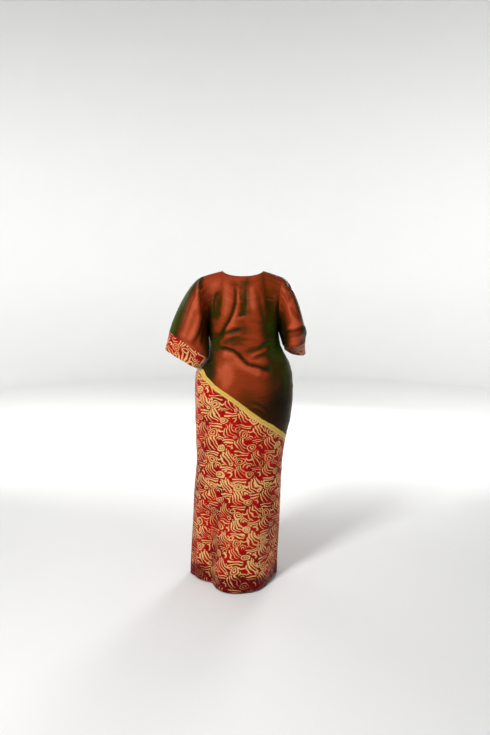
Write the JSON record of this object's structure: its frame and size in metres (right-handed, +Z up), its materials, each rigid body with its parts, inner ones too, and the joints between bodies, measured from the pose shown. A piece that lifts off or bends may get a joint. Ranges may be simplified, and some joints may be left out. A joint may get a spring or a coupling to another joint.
{
  "type": "grand boubou robe",
  "caption": "Worn floor-length robe with wide elbow sleeves: shot-silk upper body joined to a brocade skirt along a slanting braided seam, with brocade cuffs.",
  "frame": {"origin": "midway between the two neck points at the top of the shoulder seams, where the wearer's shoulders carry the robe", "axes": "+Z up, -Y towards the back of the robe and +Y towards its front, +X towards the wearer's right"},
  "size_m": [0.6462, 0.3783, 1.4508],
  "materials": {
    "shot_silk": "shot silk, copper crossed with olive green, satin sheen",
    "brocade": "red brocade with a woven gold pattern",
    "gold_braid": "plaited metallic gold braid",
    "button": "dark gloss"
  },
  "bodies": {
    "root": {"back_panel": "shot_silk", "front_panel": "shot_silk", "sleeve_left": "shot_silk", "sleeve_right": "shot_silk", "cuff_left": "brocade", "cuff_right": "brocade", "skirt_back": "brocade", "skirt_front": "brocade", "braid_back": "gold_braid", "braid_front": "gold_braid", "neck_button": "button"}
  },
  "joints": []
}
